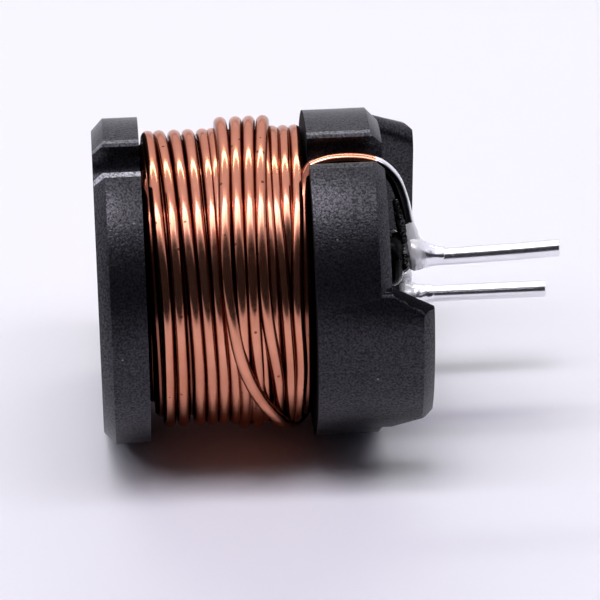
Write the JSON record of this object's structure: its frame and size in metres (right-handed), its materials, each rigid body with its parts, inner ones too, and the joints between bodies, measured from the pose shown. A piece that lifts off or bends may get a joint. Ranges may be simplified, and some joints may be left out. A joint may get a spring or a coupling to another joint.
{
  "type": "radial power inductor",
  "caption": "Through-hole drum-core inductor: a ferrite drum wound with enamelled copper wire, with tinned pins soldered to the wire's ends.",
  "frame": {"origin": "midway between the two pins, on the board plane that the feet seat on", "axes": "+Z away from the board along the drum, pins point to -Z; the two pins stand along Y, pin_1 at -Y and pin_2 at +Y"},
  "size_m": [0.0099, 0.01, 0.014],
  "materials": {
    "core": "black sintered ferrite, fine-grained, with a low speckled sheen",
    "winding": "copper wire under clear amber enamel, glossy",
    "pins": "bright tin plating",
    "glue": "dark cured adhesive, glossy and lumpy",
    "solder": "bright tin solder"
  },
  "bodies": {
    "root": {"core": "core", "winding": "winding", "pin_1": "pins", "pin_2": "pins", "glue_1": "glue", "glue_2": "glue", "solder_1": "solder", "solder_2": "solder"}
  },
  "joints": []
}
